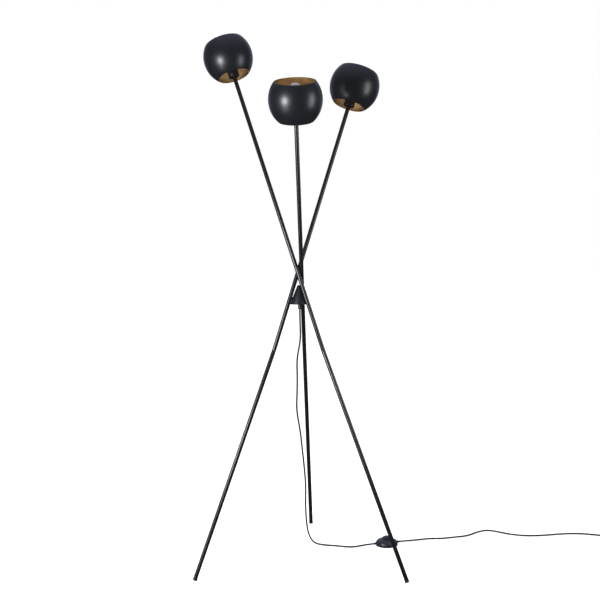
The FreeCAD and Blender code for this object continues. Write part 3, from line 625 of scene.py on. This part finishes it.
def rounded(points, bevel, steps=3):
    """Rounds each corner of a closed section by the bevel, in millimetres."""
    made = []
    count = len(points)
    for i, corner in enumerate(points):
        c = Vector(corner)
        back, on = Vector(points[i - 1]) - c, Vector(points[(i + 1) % count]) - c
        on_axis = c.x < 1e-6
        cut = min(bevel, back.length * 0.4, on.length * 0.4)
        if on_axis or cut < 1e-4:
            made.append(tuple(corner))
            continue
        a, b = c + back.normalized() * cut, c + on.normalized() * cut
        for s in range(steps + 1):
            t = s / steps
            p = a * (1 - t) ** 2 + c * (2 * t * (1 - t)) + b * t ** 2
            made.append((p.x, p.y))
    return made


def ellipse(radius, half, low, high, count):
    """Points up an ellipse's right-hand side from one height to another."""
    start, end = math.asin(low / half), math.asin(high / half)
    angles = [start + (end - start) * i / count for i in range(count + 1)]
    return [(radius * math.cos(a), half * math.sin(a)) for a in angles]


def worn(piece, slot_name, body="lamp", *nodes):
    """Every new piece rides on its body and stands for its nodes, which it hides. Its slot name is not used."""
    piece.data.transform(piece.matrix_world)
    piece.matrix_world = Matrix.Identity(4)
    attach(piece, body)
    if nodes:
        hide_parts(*nodes)
    return piece


# %% [markdown]
# ## Poles
# The tubes are drawn steel, 12 mm across, with a 1 mm wall and the fine burr of their cut ends
# rounded by the paint. A turned tube with rounded ends shows that, and keeps its round shape
# much better than the coarse facets of a CAD export.

# %% Poles
for side in SIDES:
    for part, sections in (("upper", UPPER), ("lower", LOWER)):
        place, half = sections[side]
        h = half / MM
        outline = rounded([(5, -h), (6, -h), (6, h), (5, h)], 0.35)
        tube = turned(f"tube_{part}_{side}", outline, place, [POLE_BLACK], segments=64)
        worn(tube, "black_paint", "lamp", f"pole_{part}_{side}")
print("poles", {side: round(2 * (UPPER[side][1] + LOWER[side][1]), 3) for side in SIDES})

# %% [markdown]
# ## Feet
# A black rubber cap closes each pole. It is pushed into the tube and stands flush over its end,
# and its lowest edge is worn level where it meets the floor, so it is cut there.


# %% Feet
def foot(side):
    place, half = LOWER[side]
    h = half / MM
    outline = rounded([(0, -h - 7), (6.3, -h - 7), (6.3, -h - 0.02), (4.9, -h - 0.02), (4.9, -h + 12), (0, -h + 12)], 0.6)
    cap = turned(f"cap_{side}", outline, place, [RUBBER], segments=64)
    work = bmesh.new()
    work.from_mesh(cap.data)
    floor_here = place.inverted() @ Vector((place.translation.x, place.translation.y, 0))
    flat = bmesh.ops.bisect_plane(
        work, geom=work.verts[:] + work.edges[:] + work.faces[:], dist=1e-6,
        plane_co=floor_here, plane_no=place.to_3x3().inverted() @ Vector((0, 0, -1)), clear_outer=True,
    )
    bmesh.ops.edgeloop_fill(work, edges=[e for e in flat["geom_cut"] if isinstance(e, bmesh.types.BMEdge)])
    work.to_mesh(cap.data)
    work.free()
    return worn(cap, "foot_rubber", "lamp", f"foot_cap_{side}")


for side in SIDES:
    foot(side)

# %% [markdown]
# ## Shades
# Each shade is spun from thin sheet into an egg shape, cut open above and below, and its cut
# rims are rounded. The section runs down the outside and up the inside. The paint stops at the
# rim, so the faces of the inner half take the gold.

# %% Shades
SHADE_R, SHADE_HALF = 73.3, 77.5
SHADE_TOP, SHADE_BOTTOM = 48.8, -59.0
SHADE_WALL = 1.2
ARC_STEPS = 56
OUTER = ellipse(SHADE_R, SHADE_HALF, SHADE_BOTTOM, SHADE_TOP, ARC_STEPS)
INNER = ellipse(SHADE_R - SHADE_WALL, SHADE_HALF - SHADE_WALL, SHADE_BOTTOM, SHADE_TOP, ARC_STEPS)


def rim(a, b, bulge):
    """Rounds a cut edge from a to b with two points that stand a little towards the wall's end."""
    (ar, az), (br, bz) = a, b
    return [(ar + (br - ar) * t, az + bulge * math.sin(math.pi * t)) for t in (0.25, 0.5, 0.75)]


def shade(side):
    outside = [(r, z - 0.25 * (i == len(OUTER) - 1) + 0.25 * (i == 0)) for i, (r, z) in enumerate(OUTER)]
    inside = [(r, z - 0.25 * (i == len(INNER) - 1) + 0.25 * (i == 0)) for i, (r, z) in enumerate(INNER)]
    upper = rim(outside[-1], inside[-1], 0.25)
    lower = rim(inside[0], outside[0], -0.25)
    outline = outside + upper + inside[::-1] + lower
    inner_from = len(outside) + 1
    inner_to = len(outside) + len(upper) + len(inside) + 1
    shell = turned(
        f"shade_shell_{side}", outline, HEAD[side], [BLACK, GOLD], segments=128,
        finish_of=lambda k: 1 if inner_from <= k < inner_to else 0, smooth=60,
    )
    return worn(shell, "black_paint", "lamp", f"shade_{side}")


for side in SIDES:
    shade(side)

# %% [markdown]
# ## Lampholder and bulb
# A black cup hides the lampholder. The lampholder's threaded rim stands above it, holds the gold
# three-armed carrier under a ring, and takes the bulb's screw base. The bulb is clear, a round
# head on a tapering neck, with a short filament on its glass stem inside.


# %% Cups, lampholders and rings
CUP = [(6.1, -62), (16.25, -62), (16.25, -32), (15.25, -32), (15.25, -60.5), (6.1, -60.5)]
HOLDER = [
    (1.9, -64.5), (4.9, -64.5), (4.9, -56.5), (13.5, -56.5), (13.5, -26), (7.4, -26), (7.4, -53), (1.9, -53),
]
for side in SIDES:
    cup = turned(f"cup_{side}", rounded(CUP, 0.8), HEAD[side], [BLACK], segments=72)
    worn(cup, "black_paint", "lamp", f"holder_cup_{side}")
    holder = turned(f"holder_{side}", rounded(HOLDER, 0.4), HEAD[side], [PLASTIC], segments=72)
    worn(holder, "black_plastic", "lamp", f"lampholder_{side}")


def knurled_ring(side):
    """The clamping ring has fine grip ribs round its edge."""
    outline = rounded([(13.55, -30.8), (16.9, -30.8), (16.9, -27.3), (13.55, -27.3)], 0.35)
    ring = turned(f"clamp_ring_{side}", outline, HEAD[side], [PLASTIC], segments=144)
    for vert in ring.data.vertices:
        radius = math.hypot(vert.co.x, vert.co.y)
        if radius > 16.4 * MM:
            angle = math.atan2(vert.co.y, vert.co.x)
            pull = 1 - 0.022 * (0.5 + 0.5 * math.cos(angle * 48))
            vert.co.x *= pull
            vert.co.y *= pull
    return worn(ring, "black_plastic", "lamp", f"shade_ring_{side}")


for side in SIDES:
    knurled_ring(side)


# %% Carriers
def carrier(side):
    """A stamped three-armed carrier: a flat ring with an arm to the shade every 120 degrees."""
    mesh = bpy.data.meshes.new(f"carrier_{side}")
    work = bmesh.new()
    uv = work.loops.layers.uv.new("flat")
    low, high, hole, ring_r, half_arm = -32.0, -30.8, 13.6, 18.5, 4.0
    reach = (SHADE_R - SHADE_WALL) * math.sqrt(1 - (low / (SHADE_HALF - SHADE_WALL)) ** 2) - 0.3
    outline = []
    for arm in range(3):
        facing = math.radians(60 + 120 * arm)
        start = math.asin(half_arm / ring_r)
        end = math.asin(half_arm / reach)
        stops = [(ring_r, -start), (reach, -end), (reach + 0.05, 0), (reach, end), (ring_r, start)]
        outline += [(r * math.cos(facing + a), r * math.sin(facing + a)) for r, a in stops]
        for k in range(1, 9):
            a = facing + start + (math.radians(120) - 2 * start) * k / 9
            outline.append((ring_r * math.cos(a), ring_r * math.sin(a)))
    count = len(outline)
    angles = [math.atan2(y, x) for x, y in outline]
    inner = [(hole * math.cos(a), hole * math.sin(a)) for a in angles]
    loops = {
        (edge, z): [work.verts.new((x * MM, y * MM, z * MM)) for x, y in points]
        for edge, points in (("out", outline), ("in", inner)) for z in (low, high)
    }
    for i in range(count):
        j = (i + 1) % count
        quads = (
            (("out", low), ("out", high)), (("out", high), ("in", high)),
            (("in", high), ("in", low)), (("in", low), ("out", low)),
        )
        for a, b in quads:
            face = work.faces.new((loops[a][i], loops[a][j], loops[b][j], loops[b][i]))
            for loop in face.loops:
                loop[uv].uv = (loop.vert.co.x * 20, loop.vert.co.y * 20)
    bmesh.ops.recalc_face_normals(work, faces=work.faces)
    work.to_mesh(mesh)
    work.free()
    mesh.materials.append(SPIDER_GOLD)
    piece = link(f"carrier_{side}", mesh, HEAD[side])
    return worn(piece, "gold_paint", "lamp", f"shade_spider_{side}")


for side in SIDES:
    carrier(side)


# %% Bulbs
BULB_R, BULB_TIP, BULB_NECK_R, BULB_NECK_Z = 17.7, 45.0, 8.0, -24.2
BULB_WALL = 0.8


def bulb_side(radius):
    """From the neck up a slightly waisted side, then round the top to the tip."""
    neck_r = BULB_NECK_R - (BULB_R - radius)
    centre = BULB_TIP - BULB_R
    angle = math.atan2(centre - BULB_NECK_Z, neck_r) - math.acos(
        radius / math.hypot(neck_r, centre - BULB_NECK_Z)
    )
    meet = (radius * math.cos(angle), centre - radius * math.sin(angle))
    side = []
    for i in range(8):
        t = i / 8
        side.append((neck_r + (meet[0] - neck_r) * t - 0.5 * math.sin(math.pi * t), BULB_NECK_Z + (meet[1] - BULB_NECK_Z) * t))
    turn = [-angle + (math.pi / 2 + angle) * i / 22 for i in range(23)]
    return side + [(max(0.0, radius * math.cos(a)) if a < 1.5707 else 0.0, centre + radius * math.sin(a)) for a in turn]


def bulb(side):
    outside, inside = bulb_side(BULB_R), bulb_side(BULB_R - BULB_WALL)
    glass = turned(f"glass_{side}", outside + inside[::-1], HEAD[side], [GLASS], segments=72, smooth=70)
    worn(glass, "clear_glass", "lamp", f"bulb_glass_{side}")
    return glass


def screw_base(side):
    """The rolled thread is drawn as a spiral: each turn of the wall stands out and falls back."""
    outline = [(0, -52.5), (2.5, -52.5), (2.5, -51.2), (5.2, -50.4), (6.2, -49.6)]
    heights = [-49.0 + 0.25 * i for i in range(77)]
    outline += [(6.45, z) for z in heights]
    outline += [(7.0, -28.6), (7.0, -25.7), (8.3, -25.7), (8.3, -24.3), (0, -24.3)]
    base = turned(f"screw_base_{side}", outline, HEAD[side], [NICKEL], segments=72, closed=False, smooth=50)
    pitch = 2.8 * MM
    for vert in base.data.vertices:
        radius = math.hypot(vert.co.x, vert.co.y)
        if 6.3 * MM < radius < 6.6 * MM:
            turn = math.atan2(vert.co.y, vert.co.x) / (2 * math.pi)
            wave = 0.5 + 0.5 * math.cos(2 * math.pi * (vert.co.z / pitch - turn))
            grow = 1 + 0.085 * wave
            vert.co.x *= grow
            vert.co.y *= grow
    worn(base, "bulb_metal", "lamp", f"bulb_cap_{side}")


def filament(side):
    """Four bright rods lean out from a glass stem and draw in together above it."""
    for name, points, radius, finish, slot_name in (
        ("stem", [(0, 0, -24), (0, 0, -8), (0, 0, 4), (0, 0, 22)], 1.3, GLASS, "clear_glass"),
        *[
            (f"rod_{i}", [
                (3 * math.cos(math.pi * i / 2), 3 * math.sin(math.pi * i / 2), -6),
                (5.5 * math.cos(math.pi * i / 2), 5.5 * math.sin(math.pi * i / 2), 8),
                (7 * math.cos(math.pi * i / 2), 7 * math.sin(math.pi * i / 2), 24),
                (2.0 * math.cos(math.pi * i / 2), 2.0 * math.sin(math.pi * i / 2), 33),
            ], 0.8, FILAMENT, "clear_glass") for i in range(4)
        ],
    ):
        data = bpy.data.curves.new(f"{name}_{side}", "CURVE")
        data.dimensions = "3D"
        data.bevel_depth = radius * MM
        data.bevel_resolution = 3
        data.resolution_u = 8
        data.use_fill_caps = True
        spline = data.splines.new("NURBS")
        spline.points.add(len(points) - 1)
        for point, place in zip(spline.points, points):
            point.co = (*[c * MM for c in place], 1)
        spline.order_u = 3
        spline.use_endpoint_u = True
        data.materials.append(finish)
        rod = bpy.data.objects.new(f"{name}_{side}", data)
        rod.matrix_world = HEAD[side]
        SCENE.collection.objects.link(rod)
        worn(rod, slot_name)


for side in SIDES:
    bulb(side)
    screw_base(side)
    filament(side)
print("heads done")

# %% [markdown]
# ## Hub
# The cone under the waist holds the wiring. It is a spun shell with a small flat top, closed by
# a plate from below, and each pole is held to it by a short hollow nipple with a collar. The
# nipples, nuts and screws keep their CAD shapes. The cone is turned anew for a smooth skin.

# %% Hub
cone_low, cone_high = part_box("hub_cone")
cone_r = (cone_high[0] - cone_low[0]) / 2 / MM
cone_h = (cone_high[2] - cone_low[2]) / MM
hub_place = Matrix.Translation((AXIS.x, AXIS.y, BASE_Z))
cone = turned(
    "cone_shell",
    rounded([(cone_r - 1.5, 0), (cone_r, 0), (5.8, cone_h), (0, cone_h), (0, cone_h - 2), (5.1, cone_h - 2)], 0.5),
    hub_place, [BLACK], segments=128,
)
worn(cone, "black_paint", "lamp", "hub_cone")
CORD_HOLE = CORD_D / 2 / MM + 0.2
gland_outline = [
    (CORD_HOLE, -14.9), (4.6, -14.9), (5.4, -13.9), (5.4, -10.7), (4.9, -10.2), (5.4, 0), (4.5, 0), (4.5, 6),
    (CORD_HOLE, 6),
]
gland = turned("gland_body", rounded(gland_outline, 0.3), hub_place, [PLASTIC], segments=96)
for vert in gland.data.vertices:
    if vert.co.z < -10.6 * MM and math.hypot(vert.co.x, vert.co.y) > 4.8 * MM:
        ribs = 1 - 0.03 * (0.5 + 0.5 * math.cos(16 * math.atan2(vert.co.y, vert.co.x)))
        vert.co.x *= ribs
        vert.co.y *= ribs
worn(gland, "black_plastic", "lamp", "gland")

# %% [markdown]
# ## Foot switch
# A round dome of moulded plastic with a push button. A shallow groove runs round the dome where
# its two shells meet, and the button's top has three fine grip rings. The lead passes through a
# ribbed sleeve on each side.

# %% Foot switch: dome and base
switch_place = Matrix.Translation((SWITCH.x, SWITCH.y, 0)) @ Matrix.Rotation(math.radians(14.5), 4, "Z")
flat_r = 14.3


def dome_section(inset, steps=14):
    """The dome's curve from its upright side to the flat round the button."""
    radius, top, side = 33.5 - inset, 18.8 - inset, 6.0
    start, end = Vector((radius, side)), Vector((flat_r, top))
    middle_point = Vector((flat_r + (radius - flat_r) * 0.72, side + (top - side) * 0.68))
    control = middle_point * 2 - (start + end) / 2
    return [tuple(start * (1 - t) ** 2 + control * 2 * t * (1 - t) + end * t ** 2) for t in (i / steps for i in range(steps + 1))]


skin, lining = dome_section(0), dome_section(2.2)
cover_outline = [
    (33.5, 1.5), (33.5, 2.6), (33.1, 2.9), (33.1, 3.3), (33.5, 3.6), *skin,
    (13.6, 18.6), (13.2, 18.1), (13.2, 17.8), *lining[::-1], (31.3, 1.5),
]
cover = turned("switch_dome", cover_outline, switch_place, [SWITCH_BLACK], segments=128, smooth=35)
worn(cover, "switch_plastic", "lamp", "switch_cover")
base = turned("switch_sole", rounded([(0, 0), (33.5, 0), (33.5, 1.5), (31.1, 1.5), (31.1, 3.5), (0, 3.5)], 0.4), switch_place, [SWITCH_BLACK], segments=128)
worn(base, "switch_plastic", "lamp", "switch_base")

# %% Foot switch: sleeves and button
ribs = []
for i in range(4):
    z = 30.5 + i * 2.2
    ribs += [(4.15 - 0.25 * i, z), (4.15 - 0.25 * i, z + 1.2), (3.6 - 0.2 * i, z + 1.3), (3.6 - 0.2 * i, z + 2.1)]
sleeve_outline = [(CORD_HOLE, 28)] + [(4.2, 28)] + ribs + [(CORD_HOLE, 39.4)]
for name, turn in (("in", math.pi), ("out", 0.0)):
    place = switch_place @ Matrix.Rotation(turn, 4, "Z") @ Matrix.Translation((0, 0, CORD_HEIGHT)) @ Matrix.Rotation(math.pi / 2, 4, "Y")
    piece = turned(f"switch_sleeve_{name}", sleeve_outline, place, [SWITCH_BLACK], segments=48)
    worn(piece, "switch_plastic")
BUTTON_R, BUTTON_TOP, BUTTON_DOME = 12.4, 28.5, 4.5
ball = (BUTTON_R ** 2 + BUTTON_DOME ** 2) / (2 * BUTTON_DOME)
crown = []
for i in range(31):
    r = BUTTON_R * (1 - i / 30)
    groove = 0.22 * sum(math.exp(-((r - g) / 0.35) ** 2) for g in (4.0, 6.4, 8.8))
    crown.append((max(r, 0.0), BUTTON_TOP - ball + math.sqrt(ball * ball - r * r) - groove))
low_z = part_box("switch_button")[0][2] / MM
button_outline = [(0, low_z), (14.0, low_z), (14.0, low_z + 1.8), (BUTTON_R, low_z + 1.8), (BUTTON_R, 23.4)] + crown
button = turned("switch_push", button_outline, switch_place, [SWITCH_BLACK], segments=96, closed=False, smooth=50)
worn(button, "switch_plastic", "button", "switch_button")

# %% [markdown]
# The button's return spring sits on the contact block. It can't ride on both, so it stands on
# the block.

# %% Foot switch: return spring
SPRING_WIRE_R = 0.45 * MM
SPRING_TURNS = 4
SPRING_STEPS = 16


def return_spring():
    low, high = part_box("switch_spring")
    radius = (high[0] - low[0]) / 2 - SPRING_WIRE_R
    first, last = low[2] + SPRING_WIRE_R, high[2] - SPRING_WIRE_R
    route = []
    for i in range(SPRING_TURNS * SPRING_STEPS + 1):
        angle = 2 * math.pi * i / SPRING_STEPS
        rise = (last - first) * i / (SPRING_TURNS * SPRING_STEPS)
        route.append(Vector((
            SWITCH.x + radius * math.cos(angle), SWITCH.y + radius * math.sin(angle), first + rise,
        )))
    wound = smooth_cord("spring_route", route, SPRING_WIRE_R)
    coil = link("return_spring", bpy.data.meshes.new_from_object(wound))
    bpy.data.objects.remove(wound)
    coil.data.materials.append(ZINC)
    worn(coil, "zinc", "lamp", "switch_spring")
    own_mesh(coil)
    return coil


spring = return_spring()

# %% [markdown]
# ## Plug
# A flat two-pin plug: its body swells towards the middle for the fingers, the pins have dark
# sleeves at their roots, and the lead enters through a tapering ribbed sleeve.


# %% Plug
def plug():
    low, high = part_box("plug_body")
    half_w, half_t = (high[1] - low[1]) / 2, (high[2] - low[2]) / 2
    rear = high[0] - 34 * MM
    mid_y, mid_z = (low[1] + high[1]) / 2, (low[2] + high[2]) / 2
    stations = [
        (0.0, 0.30, 0.62), (0.04, 0.38, 0.80), (0.16, 0.60, 0.93), (0.32, 0.83, 0.98), (0.48, 0.95, 1.0),
        (0.62, 0.99, 1.0), (0.78, 0.91, 0.98), (0.94, 0.78, 0.95), (0.985, 0.745, 0.92), (1.0, 0.70, 0.86),
    ]
    around = 40
    mesh = bpy.data.meshes.new("plug_shell")
    work = bmesh.new()
    rings = []
    for share, wide, thick in stations:
        ring = []
        for i in range(around):
            a = 2 * math.pi * i / around
            c, s = math.cos(a), math.sin(a)
            y = math.copysign(abs(c) ** 0.55, c) * half_w * wide * 0.995
            z = math.copysign(abs(s) ** 0.45, s) * half_t * thick * 0.995
            ring.append(work.verts.new((rear + share * 34 * MM, mid_y + y, mid_z + z)))
        rings.append(ring)
    for a, b in zip(rings, rings[1:]):
        for i in range(around):
            j = (i + 1) % around
            work.faces.new((a[i], a[j], b[j], b[i])).smooth = True
    work.faces.new(rings[0])
    work.faces.new(rings[-1])
    bmesh.ops.recalc_face_normals(work, faces=work.faces)
    work.to_mesh(mesh)
    work.free()
    mesh.materials.append(PLASTIC)
    mesh.set_sharp_from_angle(angle=math.radians(50))
    body = link("plug_shell", mesh)
    worn(body, "plug_plastic", "lamp", "plug_body")
    outline = [(CORD_HOLE, 0), (3.4, 0)]
    for i in range(5):
        z, r = 1.5 + 4.2 * i, 3.45 + 0.22 * i
        outline += [(r, z), (r + 0.08, z + 2.9), (r - 0.55, z + 3.1), (r - 0.5, z + 4.0)]
    outline += [(4.5, 23.2), (4.6, 25.0), (CORD_HOLE, 25.0)]
    sleeve = turned(
        "plug_sleeve", outline, Matrix.Translation((low[0], mid_y, mid_z)) @ Matrix.Rotation(math.pi / 2, 4, "Y"),
        [PLASTIC], segments=48,
    )
    worn(sleeve, "plug_plastic")
    roots = []
    for k, shift in enumerate((-9.3, 9.3)):
        outline = rounded([(2.05, 0), (2.25, 0), (2.25, 1.2), (2.05, 1.2)], 0.08)
        place = Matrix.Translation((high[0] - 0.2 * MM, mid_y + shift * MM, mid_z)) @ Matrix.Rotation(math.pi / 2, 4, "Y")
        roots.append(worn(turned(f"pin_root_{k}", outline, place, [PLASTIC], segments=32), "plug_plastic"))
    return [body, sleeve, *roots]


plug_pieces = plug()

# %% [markdown]
# ## CAD pieces that keep their shape
# Fittings that are small or hidden are right as they are. Each takes the finish of its slot.

# %% Finishes for the CAD pieces
KEPT = {
    "joint_insert": ZINC, "joint_stud": ZINC, "nipple": BLACK, "nipple_nuts": ZINC, "hub_plate": BLACK,
    "hub_screws": ZINC, "pole_flex": SHEATH, "terminal_block": WHITE, "gland_nut": PLASTIC,
    "switch_contacts": WHITE, "switch_screws": ZINC, "plug_pins": NICKEL,
}
for name, node in NODES.items():
    for start, finish in KEPT.items():
        if name == start or name.rsplit("_", 1)[0] == start:
            for holder_slot in node.material_slots:
                holder_slot.material = finish

# %% [markdown]
# ## The lead's sheath and its length
# Both cords take the sheath's finish, and their real lengths are measured: what the lead
# measures from the terminal block to the switch, and from the switch through its coil to the
# plug.

for cord in (lead, mains):
    cord.data.materials.append(SHEATH)
worn(lead, "cord_sheath", "lamp", "lead")
worn(mains, "cord_sheath", "lamp", "mains_lead", "cord_coil")
round(length_of(lead), 3)
round(length_of(mains), 3)
